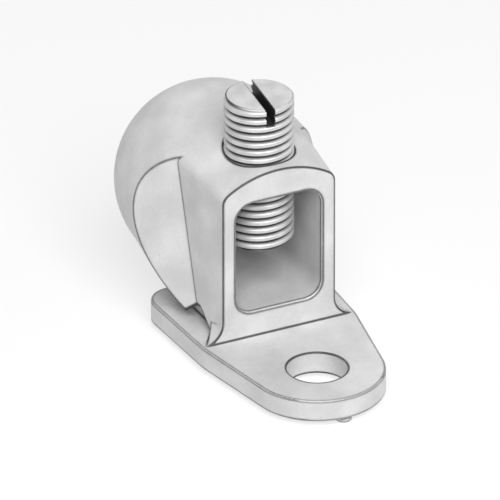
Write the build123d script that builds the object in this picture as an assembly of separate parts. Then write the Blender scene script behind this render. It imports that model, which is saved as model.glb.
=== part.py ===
"""Screw-clamp earth lug: a one-piece cast body with a palm, a square neck and a round bulb,
and the slotted clamp screw that grips the conductor.

Row frame, millimetres: origin at the middle of the palm's fixing hole on the mounting face,
+Y from the palm towards the conductor entry, +Z up through the clamp screw."""

from build123d import *
from math import cos, radians, sin, tan
import os

# Palm: the flat tongue that is bolted down
PALM_THICKNESS = 4.0
PALM_END_RADIUS = 11.7
PALM_WAIST_Y = 16.0
PALM_WAIST_RADIUS = 14.6
PALM_REAR_HALF_WIDTH = 15.3
PALM_REAR_Y = 36.5
PALM_REAR_CORNER = 4.5
FIXING_HOLE_DIAMETER = 10.5
PALM_EDGE_BREAK = 0.3

# Nib under the palm's tip, which keys into a dimple and stops the lug from turning
NIB_RADIUS = 1.4
NIB_DROP = 1.0
NIB_INSET = 0.2
NIB_ROUND = 0.35

# Neck: the square front of the barrel, between two flat cheeks
NECK_FACE_Y = 14.6
NECK_HALF_WIDTH = 10.6
NECK_FLARE_DEG = 4.7
NECK_STEM_REAR_Y = 21.0
STEM_TAPER_REAR_Y = 34.0
STEM_REAR_HALF_WIDTH = 6.5
FOOT_FLARE_WIDTH = 3.2
FOOT_FLARE_HEIGHT = 4.2
FOOT_FLARE_LENGTH = 4.0
FOOT_FLARE_HOLLOW = 0.3
RIDGE_ROUND = 2.2

# Barrel: round sections from the neck's crown, through a low belly, to the ball of the bulb
BARREL_AXIS_Z = 21.2
CROWN_RADIUS = 18.0
CROWN_SAG = 4.1
BULB_RADIUS = 17.0
BULB_CENTRE_Y = 40.0
BULB_REAR_Y = 51.0
BELLY_SETBACK = 10.4
BELLY_SAG = 2.6
BELLY_SWELL = 1.0
SHOULDER_SETBACK = 17.4
SHOULDER_SAG = 1.3
SHOULDER_SWELL = 0.7

# Shoulder: the flat facet where each cheek opens out to the bulb
SHOULDER_TOP_Y = 29.8
SHOULDER_TOP_Z = 33.0
SHOULDER_LEAN_DEG = 14.4
SHOULDER_SPREAD_DEG = 29.0

# Relief under each side of the bulb, which leaves the stem standing on the palm
RELIEF_FRONT_LEAN_DEG = 46.0
RELIEF_INNER_X = 9.6
RELIEF_TOP_Z = 9.3
RELIEF_SLOPE_DEG = 50.0

# Passage for the conductor: square from the neck, round and bell-mouthed at the rear
PASSAGE_WIDTH = 16.0
PASSAGE_HEIGHT = 20.8
PASSAGE_FLOOR_Z = 8.8
PASSAGE_CORNER = 3.0
PASSAGE_EDGE_BREAK = 0.35
PASSAGE_END_Y = 40.0
MOUTH_AXIS_Z = 19.6
MOUTH_THROAT_RADIUS = 8.4
MOUTH_LIP_RADIUS = 9.9

# Clamp screw, M12 x 1.5, headless, slotted
SCREW_DIAMETER = 12.0
SCREW_LENGTH = 27.2
SCREW_Y = 22.4
SCREW_TIP_Z = 18.4
THREAD_PITCH = 1.5
THREAD_DEPTH = 0.75
THREAD_CREST = 0.3
SCREW_CLEARANCE = 0.06
SCREW_TIP_CHAMFER = 0.6
SCREW_TOP_CHAMFER = 0.25
SLOT_WIDTH = 1.6
SLOT_DEPTH = 3.0
SLOT_TURN_DEG = 6.0


def plan_face(points):
    """Face on the XY plane with the given corners."""
    with BuildSketch() as plan:
        with BuildLine():
            Polyline(*points, close=True)
        make_face()
    return plan.sketch


def palm():
    """Flat tongue: round about the fixing hole, swelling to two rounded rear corners."""
    corner_x = PALM_REAR_HALF_WIDTH - PALM_REAR_CORNER
    corner_y = PALM_REAR_Y - PALM_REAR_CORNER
    with BuildSketch() as outline:
        with BuildLine():
            CenterArc((0, 0), PALM_END_RADIUS, 0, 360)
            CenterArc((0, PALM_WAIST_Y), PALM_WAIST_RADIUS, 0, 360)
            CenterArc((-corner_x, corner_y), PALM_REAR_CORNER, 0, 360)
            CenterArc((corner_x, corner_y), PALM_REAR_CORNER, 0, 360)
        make_hull()
    plate = extrude(outline.sketch, PALM_THICKNESS)
    rims = plate.faces().sort_by(Axis.Z)
    return fillet(rims[0].edges() + rims[-1].edges(), PALM_EDGE_BREAK)


def nib():
    """Half-round key under the tip of the palm, just inside the rim."""
    pin = Pos(0, NIB_RADIUS + NIB_INSET - PALM_END_RADIUS, -NIB_DROP) * Cylinder(
        NIB_RADIUS, NIB_DROP + PALM_THICKNESS / 2, align=(Align.CENTER, Align.CENTER, Align.MIN)
    )
    return fillet(pin.edges().group_by(Axis.Z)[0], NIB_ROUND)


def barrel_sections():
    """Distance along the barrel, height of centre and radius of each round section."""
    return [
        (NECK_FACE_Y, BARREL_AXIS_Z - CROWN_SAG, CROWN_RADIUS),
        (NECK_FACE_Y + BELLY_SETBACK, BARREL_AXIS_Z - BELLY_SAG, BULB_RADIUS + BELLY_SWELL),
        (NECK_FACE_Y + SHOULDER_SETBACK, BARREL_AXIS_Z - SHOULDER_SAG, BULB_RADIUS + SHOULDER_SWELL),
        (BULB_CENTRE_Y, BARREL_AXIS_Z, BULB_RADIUS),
    ]


def barrel():
    """Round body from the neck face back to the widest section of the bulb."""
    rings = []
    for y, centre_z, radius in barrel_sections():
        with BuildSketch(Plane.XZ.offset(-y)) as ring:
            with Locations((0, centre_z)):
                Circle(radius)
        rings.append(ring.sketch)
    return loft(rings)


def bulb():
    """Rear of the bulb, a ball cut flat at the conductor entry."""
    ball = Pos(0, BULB_CENTRE_Y, BARREL_AXIS_Z) * Sphere(BULB_RADIUS)
    depth = BULB_REAR_Y - BULB_CENTRE_Y
    slab = Pos(0, BULB_CENTRE_Y + depth / 2, BARREL_AXIS_Z) * Box(3 * BULB_RADIUS, depth, 3 * BULB_RADIUS)
    return ball & slab


def cheek_half_width(y):
    """Half width between the flat cheeks at a distance along the barrel."""
    return NECK_HALF_WIDTH + (y - NECK_FACE_Y) * tan(radians(NECK_FLARE_DEG))


def stem():
    """Neck that carries the barrel down to the palm, tapering under the bulb."""
    half = [
        (cheek_half_width(NECK_FACE_Y), NECK_FACE_Y),
        (cheek_half_width(NECK_STEM_REAR_Y), NECK_STEM_REAR_Y),
        (STEM_REAR_HALF_WIDTH, STEM_TAPER_REAR_Y),
    ]
    mirrored = [(-x, y) for x, y in reversed(half)]
    height = BARREL_AXIS_Z - PALM_THICKNESS / 2
    return Pos(0, 0, PALM_THICKNESS / 2) * extrude(plan_face(half + mirrored), height)


def shoulder_pocket(side):
    """Everything beside one flat cheek and in front of its leaning shoulder facet."""
    high_z = BARREL_AXIS_Z + 2 * BULB_RADIUS
    lean = tan(radians(SHOULDER_LEAN_DEG))
    cheek = radians(NECK_FLARE_DEG)
    facet = radians(NECK_FLARE_DEG + SHOULDER_SPREAD_DEG)
    along = Vector(side * sin(cheek), cos(cheek))
    out = Vector(side * sin(facet), cos(facet))
    root = Vector(side * cheek_half_width(SHOULDER_TOP_Y), SHOULDER_TOP_Y)
    root += along * (high_z - SHOULDER_TOP_Z) * lean
    far = 4 * BULB_RADIUS
    front = root - along * far
    corners = [root, front, front + Vector(side * far, 0), root + out * far]
    down = Vector(-along.X * lean, -along.Y * lean, -1)
    plan = Pos(0, 0, high_z) * plan_face([(p.X, p.Y) for p in corners])
    return extrude(plan, (high_z - PALM_THICKNESS) * down.length, dir=down)


def rounded_ridges(body):
    """The body with the two ridges between its crown and its cheeks rounded."""
    ridges = [
        edge
        for edge in body.edges()
        if edge.center().Z > PASSAGE_FLOOR_Z + PASSAGE_HEIGHT
        and NECK_FACE_Y < edge.center().Y < SHOULDER_TOP_Y
        and abs(edge.center().X) > PASSAGE_WIDTH / 2
    ]
    return fillet(ridges, RIDGE_ROUND)


def underside_relief(side):
    """Space over the palm, under one side of the bulb, that dies out towards the palm's rear."""
    tall = RELIEF_TOP_Z - PALM_THICKNESS
    reach = tall / tan(radians(RELIEF_SLOPE_DEG))
    front_y = NECK_FACE_Y + FOOT_FLARE_LENGTH
    lean = tall * tan(radians(RELIEF_FRONT_LEAN_DEG))
    with BuildSketch(Plane.XZ.offset(-front_y)) as wedge:
        with BuildLine():
            Polyline(
                (side * RELIEF_INNER_X, PALM_THICKNESS),
                (side * RELIEF_INNER_X, RELIEF_TOP_Z),
                (side * (RELIEF_INNER_X + reach), PALM_THICKNESS),
                close=True,
            )
        make_face()
    with BuildSketch(Plane.YZ) as profile:
        with BuildLine():
            Polyline(
                (front_y, PALM_THICKNESS),
                (front_y + lean, RELIEF_TOP_Z),
                (PALM_REAR_Y, PALM_THICKNESS),
                close=True,
            )
        make_face()
    return extrude(wedge.sketch, front_y - PALM_REAR_Y) & extrude(profile.sketch, 2 * BULB_RADIUS, both=True)


def foot_flare(side):
    """Hollow flare that spreads the front corner of the neck on to the palm."""
    wide = FOOT_FLARE_WIDTH
    tall = FOOT_FLARE_HEIGHT
    inner = side * (NECK_HALF_WIDTH - wide)
    corner = side * NECK_HALF_WIDTH
    outer = side * (NECK_HALF_WIDTH + wide)
    low = PALM_THICKNESS
    middle = (corner + side * wide * FOOT_FLARE_HOLLOW, low + tall * FOOT_FLARE_HOLLOW)
    with BuildSketch(Plane.XZ.offset(-NECK_FACE_Y)) as section:
        with BuildLine():
            ThreePointArc((corner, low + tall), middle, (outer, low))
            Polyline(
                (outer, low),
                (outer, low / 2),
                (inner, low / 2),
                (inner, low + tall),
                (corner, low + tall),
            )
        make_face()
    flare = extrude(section.sketch, -FOOT_FLARE_LENGTH)
    rear_y = NECK_FACE_Y + FOOT_FLARE_LENGTH
    rear_x = side * cheek_half_width(rear_y)
    mask = plan_face([(inner, NECK_FACE_Y), (outer, NECK_FACE_Y), (rear_x, rear_y), (inner, rear_y)])
    return flare & extrude(mask, low + tall)


def window(growth=0):
    """Rounded square outline of the passage on the neck face."""
    with BuildSketch(Plane.XZ.offset(-NECK_FACE_Y)) as outline:
        with Locations((0, PASSAGE_FLOOR_Z + PASSAGE_HEIGHT / 2)):
            RectangleRounded(
                PASSAGE_WIDTH + 2 * growth, PASSAGE_HEIGHT + 2 * growth, PASSAGE_CORNER + growth
            )
    return outline.sketch


def bell_mouth():
    """Round hole at the rear, with a lip that opens like a bell."""
    bell = MOUTH_LIP_RADIUS - MOUTH_THROAT_RADIUS
    quarter = bell * (1 - cos(radians(45)))
    with BuildSketch(Plane.YZ) as section:
        with BuildLine():
            ThreePointArc(
                (BULB_REAR_Y - bell, MOUTH_AXIS_Z + MOUTH_THROAT_RADIUS),
                (BULB_REAR_Y - quarter, MOUTH_AXIS_Z + MOUTH_THROAT_RADIUS + quarter),
                (BULB_REAR_Y, MOUTH_AXIS_Z + MOUTH_LIP_RADIUS),
            )
            Polyline(
                (BULB_REAR_Y, MOUTH_AXIS_Z + MOUTH_LIP_RADIUS),
                (BULB_REAR_Y, MOUTH_AXIS_Z),
                (PASSAGE_END_Y, MOUTH_AXIS_Z),
                (PASSAGE_END_Y, MOUTH_AXIS_Z + MOUTH_THROAT_RADIUS),
                (BULB_REAR_Y - bell, MOUTH_AXIS_Z + MOUTH_THROAT_RADIUS),
            )
        make_face()
    return revolve(section.sketch, Axis((0, 0, MOUTH_AXIS_Z), (0, 1, 0)), 360)


def passage():
    """Square hole with a broken front edge, and the round bell mouth it runs into."""
    square = extrude(window(), -(PASSAGE_END_Y - NECK_FACE_Y))
    edge = extrude(window(PASSAGE_EDGE_BREAK), -PASSAGE_EDGE_BREAK, taper=45)
    return square + edge + bell_mouth()


def lug_body():
    """The one-piece casting."""
    body = barrel() + bulb() + stem()
    body = body - shoulder_pocket(-1) - shoulder_pocket(1)
    body = rounded_ridges(body)
    body = body - underside_relief(-1) - underside_relief(1)
    below = 2 * BULB_RADIUS
    body = body - Pos(0, BULB_CENTRE_Y, PALM_THICKNESS / 2 - below / 2) * Box(2 * below, 4 * below, below)
    body = body + foot_flare(-1) + foot_flare(1) + palm() + nib() - passage()
    body = body - Cylinder(FIXING_HOLE_DIAMETER / 2, 3 * PALM_THICKNESS)
    bore = Cylinder(
        SCREW_DIAMETER / 2 + SCREW_CLEARANCE, SCREW_LENGTH, align=(Align.CENTER, Align.CENTER, Align.MIN)
    )
    return body - Pos(0, SCREW_Y, SCREW_TIP_Z) * bore


def clamp_screw():
    """Headless screw with a ring groove at each pitch, a flat end and a driver slot."""
    radius = SCREW_DIAMETER / 2
    root = radius - THREAD_DEPTH
    top = SCREW_LENGTH
    flank = (THREAD_PITCH - 2 * THREAD_CREST) / 2
    first = top - SCREW_TOP_CHAMFER - THREAD_CREST / 2
    turns = int((first - SCREW_TIP_CHAMFER) / THREAD_PITCH)
    points = [(0, top), (radius - SCREW_TOP_CHAMFER, top), (radius, top - SCREW_TOP_CHAMFER)]
    for turn in range(turns):
        z = first - turn * THREAD_PITCH
        points += [(radius, z), (root, z - flank), (root, z - flank - THREAD_CREST)]
        points += [(radius, z - 2 * flank - THREAD_CREST)]
    points += [(radius, SCREW_TIP_CHAMFER), (radius - SCREW_TIP_CHAMFER, 0), (0, 0)]
    with BuildSketch(Plane.XZ) as section:
        with BuildLine():
            Polyline(*points, close=True)
        make_face()
    blank = revolve(section.sketch, Axis.Z, 360)
    slot = Pos(0, 0, top) * Rot(0, 0, -SLOT_TURN_DEG) * Box(SLOT_WIDTH, 2 * SCREW_DIAMETER, 2 * SLOT_DEPTH)
    return Pos(0, SCREW_Y, SCREW_TIP_Z) * (blank - slot)


if __name__ == "__main__":
    os.makedirs("parts", exist_ok=True)
    export_step(lug_body(), "parts/lug_body.step")
    export_step(clamp_screw(), "parts/clamp_screw.step")
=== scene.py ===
# %% [markdown]
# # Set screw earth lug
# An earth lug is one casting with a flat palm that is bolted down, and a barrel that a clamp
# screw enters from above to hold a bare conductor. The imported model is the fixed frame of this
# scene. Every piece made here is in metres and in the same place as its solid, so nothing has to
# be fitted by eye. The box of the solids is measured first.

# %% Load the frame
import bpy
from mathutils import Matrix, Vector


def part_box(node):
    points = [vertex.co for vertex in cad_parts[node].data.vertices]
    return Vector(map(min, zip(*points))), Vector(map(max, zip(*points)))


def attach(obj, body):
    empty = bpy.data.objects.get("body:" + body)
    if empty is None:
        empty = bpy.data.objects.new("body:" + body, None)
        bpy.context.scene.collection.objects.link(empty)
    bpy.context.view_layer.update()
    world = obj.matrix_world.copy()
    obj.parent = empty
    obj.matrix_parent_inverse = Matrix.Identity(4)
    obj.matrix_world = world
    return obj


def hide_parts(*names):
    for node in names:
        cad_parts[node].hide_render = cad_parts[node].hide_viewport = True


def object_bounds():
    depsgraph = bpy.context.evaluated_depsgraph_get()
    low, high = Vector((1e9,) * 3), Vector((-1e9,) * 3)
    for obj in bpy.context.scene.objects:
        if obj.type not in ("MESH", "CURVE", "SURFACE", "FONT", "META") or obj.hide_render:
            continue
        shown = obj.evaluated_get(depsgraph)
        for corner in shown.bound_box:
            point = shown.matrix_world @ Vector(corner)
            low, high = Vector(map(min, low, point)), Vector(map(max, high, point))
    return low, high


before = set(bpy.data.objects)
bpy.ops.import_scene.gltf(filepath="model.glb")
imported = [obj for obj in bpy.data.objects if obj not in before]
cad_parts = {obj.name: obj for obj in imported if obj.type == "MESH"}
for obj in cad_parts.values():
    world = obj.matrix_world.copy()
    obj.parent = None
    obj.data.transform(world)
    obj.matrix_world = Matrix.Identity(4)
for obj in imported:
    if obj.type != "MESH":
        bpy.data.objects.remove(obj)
cad_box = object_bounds()
print("solids span", [round(high - low, 4) for low, high in zip(*cad_box)])

# %% [markdown]
# ## Places
# The screw's radius, length and centre line are read from the box of its solid. They could be
# typed in again, but then a change to the solid would leave the dressed screw behind.

# %% Modules and the screw's place
import bmesh
import bpy
from math import cos, pi, radians, sin
from mathutils import Vector

MM = 0.001
scene = bpy.context.scene
low, high = (Vector(corner) for corner in cad_box)
middle = (low + high) / 2
screw_low, screw_high = (Vector(corner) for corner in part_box("clamp_screw"))
screw_middle = (screw_low + screw_high) / 2
SCREW_RADIUS = (screw_high.x - screw_low.x) / 2
SCREW_LENGTH = screw_high.z - screw_low.z
SCREW_FOOT = Vector((screw_middle.x, screw_middle.y, screw_low.z))
print("screw radius", round(SCREW_RADIUS, 5), "length", round(SCREW_LENGTH, 5))

# %% [markdown]
# ## Camera
# A long lens far away keeps parallel edges almost parallel. An orthographic camera would make
# them quite parallel, but a lens keeps a little depth. The camera looks from the front left and
# from above, and it is placed by an azimuth and an elevation, as the lamps are later on.


# %% Directions
def direction(azimuth, elevation):
    """A unit vector towards a place given in degrees, where azimuth 0 is straight in front."""
    turn, lift = radians(azimuth), radians(elevation)
    return Vector((sin(turn) * cos(lift), -cos(turn) * cos(lift), sin(lift)))


def face_back(thing, outward):
    """Turns a camera or a lamp, which look down their own -Z, to look against a direction."""
    thing.rotation_euler = outward.to_track_quat("Z", "Y").to_euler()


print("straight in front is", tuple(direction(0, 0)))

# %% Camera
CAMERA_AZIMUTH = -26.2
CAMERA_ELEVATION = 29.0
CAMERA_DISTANCE = 3.0
VIEW_WIDTH = 85 * MM
SENSOR_WIDTH = 36
AIM_OFFSET = Vector((-3.4, -0.75, -4.1)) * MM
outward = direction(CAMERA_AZIMUTH, CAMERA_ELEVATION)
camera = bpy.data.objects.new("camera", bpy.data.cameras.new("camera"))
camera.data.sensor_width = SENSOR_WIDTH
camera.data.lens = SENSOR_WIDTH * CAMERA_DISTANCE / VIEW_WIDTH
camera.data.clip_start = 10 * MM
camera.location = middle + AIM_OFFSET + outward * CAMERA_DISTANCE
face_back(camera, outward)
scene.collection.objects.link(camera)
scene.camera = camera
print("lens", round(camera.data.lens), "mm")

# %% [markdown]
# ## Node maths as expressions
# A node tree is easier to read as a sum than as a list of nodes. The class below wraps a node's
# output, so that `1 - mask` or `noise * 0.2 + 0.4` adds the Math nodes by itself. Its method
# `node` makes any other node, and the class serves materials and Geometry Nodes alike.


# %% An output that can be added and multiplied
class Wire:
    """A node's output, with Python's operators turned into Math nodes."""

    def __init__(self, tree, output=None):
        self.tree = tree
        self.output = output

    def node(self, kind, settings=None, values=None, output=0):
        """Adds a node, sets its settings, fills its inputs, and wraps one of its outputs."""
        made = self.tree.nodes.new(kind)
        for name, value in (settings or {}).items():
            setattr(made, name, value)
        for name, value in (values or {}).items():
            if isinstance(value, Wire):
                self.tree.links.new(value.output, made.inputs[name])
            else:
                made.inputs[name].default_value = value
        return Wire(self.tree, made.outputs[output])

    def join(self, operation, *terms):
        """A Math node on the terms, in their order."""
        return self.node("ShaderNodeMath", {"operation": operation}, dict(enumerate(terms)))

    def math(self, operation, *terms):
        """A Math node on this value and the terms after it."""
        return self.join(operation, self, *terms)

    def __add__(self, other):
        return self.join("ADD", self, other)

    def __radd__(self, other):
        return self.join("ADD", other, self)

    def __sub__(self, other):
        return self.join("SUBTRACT", self, other)

    def __rsub__(self, other):
        return self.join("SUBTRACT", other, self)

    def __mul__(self, other):
        return self.join("MULTIPLY", self, other)

    def __rmul__(self, other):
        return self.join("MULTIPLY", other, self)

    def __truediv__(self, other):
        return self.join("DIVIDE", self, other)

    def __rtruediv__(self, other):
        return self.join("DIVIDE", other, self)

    def step(self, start, end, before=0.0, after=1.0):
        """One value before start, another after end, and smooth between."""
        limits = {"From Min": start, "From Max": end, "To Min": before, "To Max": after}
        smooth = {"interpolation_type": "SMOOTHSTEP"}
        return self.node("ShaderNodeMapRange", smooth, {"Value": self, **limits})

    def mix(self, colour_a, colour_b):
        """A colour between two colours, by this value."""
        values = {0: self, 6: colour_a, 7: colour_b}
        return self.node("ShaderNodeMix", {"data_type": "RGBA"}, values, 2)


print("node maths ready")

# %% [markdown]
# ## Floor
# The lug stands on a plain white table. The table is lit, so it keeps a soft shadow, and a share
# of plain white is mixed in for the camera, for reflections and for clear materials. More light
# would whiten the table too, but it would bleach the metal with it.


# %% What sees the white surroundings
SEEN_RAYS = ("Is Camera Ray", "Is Glossy Ray", "Is Transmission Ray")
WHITE = (1, 1, 1, 1)


def seen(tree):
    """1 where the surroundings are looked at, also in a reflection, and 0 where they light."""
    found, *others = (Wire(tree).node("ShaderNodeLightPath", output=name) for name in SEEN_RAYS)
    for ray in others:
        found = found.math("MAXIMUM", ray)
    return found


print("white is shown to", len(SEEN_RAYS), "kinds of ray")

# %% Floor
FLOOR_HALF = 0.9
TABLE_COLOUR = (0.86, 0.86, 0.86, 1)
WHITE_SHARE = 0.7
sides = ((-1, -1), (1, -1), (1, 1), (-1, 1))
floor_corners = [(x * FLOOR_HALF, y * FLOOR_HALF, low.z) for x, y in sides]
floor_mesh = bpy.data.meshes.new("floor")
floor_mesh.from_pydata(floor_corners, [], [(0, 1, 2, 3)])
floor = bpy.data.objects.new("floor", floor_mesh)
scene.collection.objects.link(floor)

floor_material = bpy.data.materials.new("white_table")
floor_material.use_nodes = True
floor_tree = floor_material.node_tree
floor_tree.nodes.remove(floor_tree.nodes["Principled BSDF"])
share = seen(floor_tree) * WHITE_SHARE
lit_table = share.node("ShaderNodeBsdfDiffuse", {}, {"Color": TABLE_COLOUR})
plain_white = share.node("ShaderNodeEmission", {}, {"Color": WHITE, "Strength": 1.0})
mixed = share.node("ShaderNodeMixShader", {}, {0: share, 1: lit_table, 2: plain_white})
floor_tree.links.new(mixed.output, floor_tree.nodes["Material Output"].inputs["Surface"])
floor_mesh.materials.append(floor_material)
print("floor at", round(low.z, 5))

# %% [markdown]
# ## World and lamps
# The world is white to look at, and only a weak light. One large lamp in front lights the front
# face and the shoulder facets, and leaves the cheeks and the far side of the bulb in half shade,
# which shows the lug's form. Two weak lamps keep the other sides from going dark. A bright world
# alone would be simpler, but it lights all sides alike and flattens the casting.

# %% World
WORLD_LIGHT = 0.2
scene.view_settings.view_transform = "Standard"
world = bpy.data.worlds.new("studio")
scene.world = world
world.use_nodes = True
background = world.node_tree.nodes["Background"]
background.inputs["Color"].default_value = WHITE
strength = seen(world.node_tree) * (1 - WORLD_LIGHT) + WORLD_LIGHT
world.node_tree.links.new(strength.output, background.inputs["Strength"])
print("world light", WORLD_LIGHT)


# %% Lamps
def soft_light(name, azimuth, elevation, distance, size, watts):
    """A square area lamp that faces the lug from the given side."""
    data = bpy.data.lights.new(name, "AREA")
    data.size = size
    data.energy = watts
    lamp = bpy.data.objects.new(name, data)
    away = direction(azimuth, elevation)
    lamp.location = middle + away * distance
    face_back(lamp, away)
    scene.collection.objects.link(lamp)
    print(name, "lamp", watts, "W")


soft_light("key", azimuth=-16, elevation=46, distance=0.7, size=0.5, watts=7.2)
soft_light("fill", azimuth=70, elevation=35, distance=0.7, size=0.5, watts=0.3)
soft_light("rim", azimuth=150, elevation=40, distance=0.8, size=0.6, watts=0.3)

# %% [markdown]
# ## Material helpers
# Both metals start from the same helpers: a Principled shader with Object coordinates, a noise
# whose size is given in metres, and a mask of the edges. The mask compares the surface's normal
# with the one that a Bevel node rounds off, which differ only near an edge. A bevel in the mesh
# would round the edges as well, but it tears where the solids' small facets meet.


# %% Material helpers
def new_material(name):
    """A Principled material, its shader node, and the Object coordinates for its patterns."""
    material = bpy.data.materials.new(name)
    material.use_nodes = True
    tree = material.node_tree
    place = Wire(tree).node("ShaderNodeTexCoord", output="Object")
    return material, tree.nodes["Principled BSDF"], place


def feed(shader, name, value):
    """Links a wrapped value to a socket of the shader."""
    value.tree.links.new(value.output, shader.inputs[name])


def grey(value):
    """A metal's grey, a touch bluer than neutral."""
    return (value, value, value + 0.005, 1)


def noise(place, size, detail=2.0, roughness=0.5):
    """Grain of about the given size in metres."""
    values = {"Vector": place, "Scale": 1 / size, "Detail": detail, "Roughness": roughness}
    return place.node("ShaderNodeTexNoise", {}, values)


print("material helpers ready")


# %% Edges without a bevel in the mesh
def rounded_normal(place, radius):
    """The surface's normal as it would be if its edges were rounded to the radius."""
    return place.node("ShaderNodeBevel", {"samples": 8}, {"Radius": radius})


def edge_mask(rounded, edge_cosine, face_cosine):
    """1 on the edges and 0 on the faces, from the angle between the two normals."""
    normals = {0: rounded, 1: rounded.node("ShaderNodeNewGeometry", output="Normal")}
    product = {"operation": "DOT_PRODUCT"}
    agreement = rounded.node("ShaderNodeVectorMath", product, normals, "Value")
    return 1 - agreement.step(edge_cosine, face_cosine)


print("edge helpers ready")

# %% [markdown]
# ## Cast metal
# The body is cast in a sand mould and plated, so it is a dull light grey with a very fine grain,
# slow changes of tone over a few millimetres, and a few shallow pits. Its edges and creases are
# painted almost black: painted shade in the creases, and dark painted lines along the edges. A
# scanned texture could be used, but noise on Object coordinates needs no unwrapped mesh and has
# the right scale by itself.

# %% Cast metal material
TONE_SIZE = 7 * MM
GRAIN_SIZE = 0.55 * MM
PIT_SIZE = 1.3 * MM
CAST_RELIEF = 0.06 * MM
EDGE_ROUND = 0.7 * MM
# Painted shade: the colour and share with which edges and creases are painted almost black.
EDGE_SHADE_COLOUR = (0.03, 0.03, 0.03, 1)
EDGE_SHADE_SHARE = 0.95
cast_metal, cast_shader, place = new_material("cast_metal")
tone = noise(place, TONE_SIZE, detail=3.0)
grain = noise(place, GRAIN_SIZE, detail=4.0, roughness=0.6)
pits = noise(place, PIT_SIZE).step(0.66, 0.78)
face_colour = (tone * 0.7 + grain * 0.3).step(0.3, 0.7).mix(grey(0.5), grey(0.62))
rounded = rounded_normal(place, EDGE_ROUND)
# Painted shade: the edge mask paints the creases and the edges almost black in the base colour.
painted_edge_shade = edge_mask(rounded, 0.98, 0.999) * EDGE_SHADE_SHARE
relief = {"Height": grain * 0.6 - pits * 0.9, "Distance": CAST_RELIEF, "Strength": 1.0}
feed(cast_shader, "Base Color", painted_edge_shade.mix(face_colour, EDGE_SHADE_COLOUR))
feed(cast_shader, "Roughness", grain * 0.16 + tone * 0.12 + 0.44)
feed(cast_shader, "Normal", place.node("ShaderNodeBump", {}, {**relief, "Normal": rounded}))
cast_shader.inputs["Metallic"].default_value = 0.4
print("cast metal ready")

# %% [markdown]
# ## Lug body
# The casting has a palm, a nib, a neck, two cheeks, shoulder facets, a bulb and the passage for
# the conductor. It could be modelled again with subdivision surfaces, but the solid already has
# its flat facets and crisp folds. So the body is a copy of the solid's mesh: its loose triangles
# are merged, its flat faces are joined, and only the real folds are marked sharp, so that the
# curved faces shade smoothly up to them. Large faces then lead the shading of small ones.

# %% Copy of a solid
MERGE_DISTANCE = 0.002 * MM
FLAT_ANGLE = radians(0.6)
SHARP_ANGLE = radians(18)


def merged_copy(node, name):
    """A copy of a solid with doubles merged, flat faces joined, and folds marked sharp."""
    mesh = bpy.data.meshes.new(name)
    work = bmesh.new()
    work.from_mesh(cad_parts[node].data)
    bmesh.ops.remove_doubles(work, verts=work.verts, dist=MERGE_DISTANCE)
    parts = {"verts": work.verts, "edges": work.edges}
    bmesh.ops.dissolve_limit(work, angle_limit=FLAT_ANGLE, use_dissolve_boundaries=False, **parts)
    work.normal_update()
    for face in work.faces:
        face.smooth = True
    for fold in work.edges:
        fold.smooth = fold.calc_face_angle(0) < SHARP_ANGLE
    work.to_mesh(mesh)
    work.free()
    piece = bpy.data.objects.new(name, mesh)
    scene.collection.objects.link(piece)
    return piece


lug = merged_copy("lug_body", "lug_casting")
print("lug casting", len(lug.data.polygons), "faces")

# %% Lug body
lug.data.materials.clear()
lug.data.materials.append(cast_metal)
even_faces = lug.modifiers.new("even faces", "WEIGHTED_NORMAL")
even_faces.keep_sharp = True
even_faces.weight = 100
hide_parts("lug_body")
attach(lug, "lug")
print("lug casting stands for the solid lug_body")

# %% [markdown]
# ## Thread
# A thread is a rule, so Geometry Nodes make it. A grid of points is wrapped round the screw's
# axis, each column a little higher than the one before, and the radius dips once a pitch. Rows
# that would pass an end are held at the end, which closes the screw there. A drawn profile with
# a Screw modifier is the other usual way, but it leaves open, slanted ends.

# %% Sizes of the screw
THREAD_PITCH = 1.5 * MM
THREAD_DEPTH = 0.8 * MM
SLOT_WIDTH = 1.6 * MM
SLOT_DEPTH = 3.0 * MM
SLOT_TURN = radians(-6)
screw_sizes = {
    "Radius": SCREW_RADIUS,
    "Length": SCREW_LENGTH,
    "Pitch": THREAD_PITCH,
    "Depth": THREAD_DEPTH,
    "Tip chamfer": 0.6 * MM,
    "Top chamfer": 0.25 * MM,
    "Slot width": SLOT_WIDTH,
    "Slot depth": SLOT_DEPTH,
    "Slot turn": SLOT_TURN,
}
print("turns of thread", round(SCREW_LENGTH / THREAD_PITCH, 1))

# %% The thread as a wrapped grid
ROWS_PER_PITCH = 12
COLUMNS = 96
GROOVE_SHARE = 0.66


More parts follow.
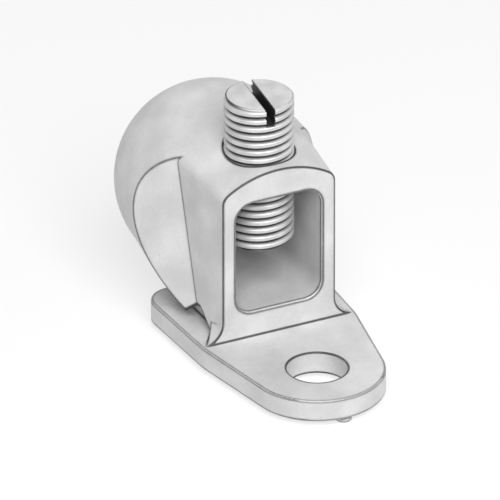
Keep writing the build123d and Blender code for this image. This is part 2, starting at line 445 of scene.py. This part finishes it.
def threaded_rod(start, size):
    """A closed rod with a helical groove. Its first and last rows are pinched to the axis."""
    rows = (size["Length"] / size["Pitch"] + 1).math("CEIL") * ROWS_PER_PITCH + 3
    counts = {"Vertices X": COLUMNS + 1, "Vertices Y": rows}
    grid = start.node("GeometryNodeMeshGrid", {}, {"Size X": 1.0, "Size Y": 1.0, **counts})
    index = start.node("GeometryNodeInputIndex")
    row = index.math("MODULO", rows)
    turn = (index / rows).math("FLOOR") / COLUMNS
    climb = (row - 1) / ROWS_PER_PITCH + turn - 1
    height = (climb * size["Pitch"]).math("MAXIMUM", 0.0).math("MINIMUM", size["Length"])

    wave = (height / size["Pitch"] - turn).math("FRACT")
    groove = ((wave - 0.5).math("ABSOLUTE") * 2).step(0.0, GROOVE_SHARE, 1.0, 0.0)
    tip_limit = size["Radius"] - size["Tip chamfer"] + height
    top_limit = size["Radius"] - size["Top chamfer"] + (size["Length"] - height)
    radius = size["Radius"] - groove * size["Depth"]
    radius = radius.math("MINIMUM", tip_limit).math("MINIMUM", top_limit)
    pinched = row.math("COMPARE", 0.0, 0.5) + row.math("COMPARE", rows - 1, 0.5)
    radius = radius * (1 - pinched)

    angle = turn * (2 * pi)
    point = {"X": angle.math("COSINE") * radius, "Y": angle.math("SINE") * radius, "Z": height}
    wrap = {"Geometry": grid, "Position": start.node("ShaderNodeCombineXYZ", {}, point)}
    seam = {"Geometry": start.node("GeometryNodeSetPosition", {}, wrap), "Distance": MERGE_DISTANCE}
    return start.node("GeometryNodeMergeByDistance", {}, seam)


print("points round the screw", COLUMNS)

# %% [markdown]
# ## Driver slot
# A screwdriver turns the screw by a slot across its top. The slot could be pushed into the
# grid's own points, but they aren't lined up with its walls, so a block cuts it. The block is
# longer than the screw is wide and stands half above it, so no two faces lie in one plane. The
# exact solver is used, because the quick one adds the block here instead of cutting with it.


# %% The slot's block
def slot_cutter(start, size):
    """A block across the top of the screw, turned about its axis."""
    box = {"X": size["Slot width"], "Y": size["Radius"] * 3, "Z": size["Slot depth"] * 2}
    box_size = start.node("ShaderNodeCombineXYZ", {}, box)
    move = {
        "Geometry": start.node("GeometryNodeMeshCube", {}, {"Size": box_size}),
        "Translation": start.node("ShaderNodeCombineXYZ", {}, {"Z": size["Length"]}),
        "Rotation": start.node("ShaderNodeCombineXYZ", {}, {"Z": size["Slot turn"]}),
    }
    return start.node("GeometryNodeTransform", {}, move)


print("slot width", round(SLOT_WIDTH, 5), "depth", round(SLOT_DEPTH, 5))


# %% The whole tree
def slotted_screw_tree(material):
    """The node group that makes the screw, and the identifiers of its named inputs."""
    tree = bpy.data.node_groups.new("slotted screw", "GeometryNodeTree")
    identifiers = {}
    for name in screw_sizes:
        socket = tree.interface.new_socket(name, in_out="INPUT", socket_type="NodeSocketFloat")
        identifiers[name] = socket.identifier
    tree.interface.new_socket("Geometry", in_out="OUTPUT", socket_type="NodeSocketGeometry")
    entry = tree.nodes.new("NodeGroupInput")
    size = {name: Wire(tree, entry.outputs[name]) for name in screw_sizes}
    start = Wire(tree)
    meshes = {0: threaded_rod(start, size), 1: slot_cutter(start, size)}
    exact_cut = {"operation": "DIFFERENCE", "solver": "EXACT"}
    cut = start.node("GeometryNodeMeshBoolean", exact_cut, meshes)
    plain = start.node("GeometryNodeRealizeInstances", {}, {"Geometry": cut})
    dressed = {"Geometry": plain, "Material": material}
    finished = start.node("GeometryNodeSetMaterial", {}, dressed)
    tree.links.new(finished.output, tree.nodes.new("NodeGroupOutput").inputs[0])
    return tree, identifiers


print("named inputs", len(screw_sizes))

# %% [markdown]
# ## Screw metal
# The screw is steel with a satin plate. The roots of its thread and the inside of its slot are
# painted almost black as painted shade, and the rim of its top is darkened to a line. The crests
# and the top keep the plate's grey, and the top keeps the fine rings that a lathe leaves. Vertex
# colours could be painted on instead, but they are only as fine as the mesh. Here the masks come
# from the distance to the screw's axis and the height above its foot, so they stay sharp and fit
# the thread wherever it is.

# %% Where a point lies on the screw
screw_metal, screw_shader, place = new_material("screw_metal")
centred = {"Vector": place, "Location": -SCREW_FOOT}
from_foot = {"Vector": place.node("ShaderNodeMapping", {}, centred)}
across, along, rise = (place.node("ShaderNodeSeparateXYZ", {}, from_foot, n) for n in "XYZ")
reach = (across * across + along * along).math("SQRT")
crest = reach.step(SCREW_RADIUS - THREAD_DEPTH, SCREW_RADIUS - 0.1 * THREAD_DEPTH)
top_face = rise.step(SCREW_LENGTH - 0.3 * MM, SCREW_LENGTH - 0.1 * MM)
slot_reach = (across * cos(SLOT_TURN) + along * sin(SLOT_TURN)).math("ABSOLUTE")
in_slot = 1 - slot_reach.step(0.45 * SLOT_WIDTH, 0.55 * SLOT_WIDTH)
slot_floor = SCREW_LENGTH - SLOT_DEPTH
deep = in_slot * (1 - top_face) * rise.step(slot_floor - 0.3 * MM, slot_floor)
print("slot floor", round(slot_floor, 5), "above the foot")

# %% Screw metal material
SPECK_SIZE = 0.35 * MM
SMEAR_SIZE = 3 * MM
RING_PITCH = 0.4 * MM
SCREW_RELIEF = 0.012 * MM
RIM_ROUND = 0.3 * MM
# Painted shade: the near-black colour of the thread's roots.
ROOT_SHADE_COLOUR = (0.04, 0.04, 0.04, 1)
# Painted shade: the near-black colour of the inside of the slot.
SLOT_SHADE_COLOUR = (0.02, 0.02, 0.02, 1)
speck = noise(place, SPECK_SIZE, detail=3.0)
smear = noise(place, SMEAR_SIZE)
rings = (reach * (2 * pi / RING_PITCH)).math("SINE")
rim = edge_mask(rounded_normal(place, RIM_ROUND), 0.93, 0.995) * top_face
plate_tone = smear * 0.8 + (rings * 0.5 + 0.5) * 0.2
plate = plate_tone.step(0.25, 0.75).mix(grey(0.46), grey(0.62))
# Painted shade: only the crests and the top keep the plate's grey, and the thread's roots go near
# black.
plate_showing = crest.math("MAXIMUM", top_face) * (1 - deep)
# Painted shade inside the slot, and a dark painted line round the rim of the top.
slot_shade_and_rim_line = deep.math("MAXIMUM", rim * 0.9)
height = speck + rings * top_face * 0.8
relief = {"Height": height, "Distance": SCREW_RELIEF, "Strength": 1.0}
feed(screw_shader, "Base Color", slot_shade_and_rim_line.mix(plate_showing.mix(ROOT_SHADE_COLOUR, plate), SLOT_SHADE_COLOUR))
feed(screw_shader, "Roughness", smear * 0.15 + speck * 0.1 + 0.38)
feed(screw_shader, "Normal", place.node("ShaderNodeBump", {}, relief))
screw_shader.inputs["Metallic"].default_value = 0.6
print("screw metal ready")

# %% [markdown]
# ## Clamp screw
# The clamp screw goes up and down in the lug's tapped hole, so it rides on a body of its own. The
# tree could stay on it as a live modifier, but the export wants a plain mesh. So the tree runs
# once on an empty holder, the result is taken out as a mesh, and it is moved to the screw's foot.

# %% Run the tree once
tree, identifiers = slotted_screw_tree(screw_metal)
holder = bpy.data.objects.new("screw maker", bpy.data.meshes.new("screw maker"))
scene.collection.objects.link(holder)
maker = holder.modifiers.new("thread", "NODES")
maker.node_group = tree
for name, value in screw_sizes.items():
    maker[identifiers[name]] = value
ready = holder.evaluated_get(bpy.context.evaluated_depsgraph_get())
screw_mesh = bpy.data.meshes.new_from_object(ready)
bpy.data.objects.remove(holder)
print("threaded screw", len(screw_mesh.polygons), "faces")

# %% Clamp screw
for vertex in screw_mesh.vertices:
    vertex.co += SCREW_FOOT
screw = bpy.data.objects.new("threaded_screw", screw_mesh)
scene.collection.objects.link(screw)
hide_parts("clamp_screw")
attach(screw, "screw")
print("screw foot at", [round(value, 5) for value in SCREW_FOOT])
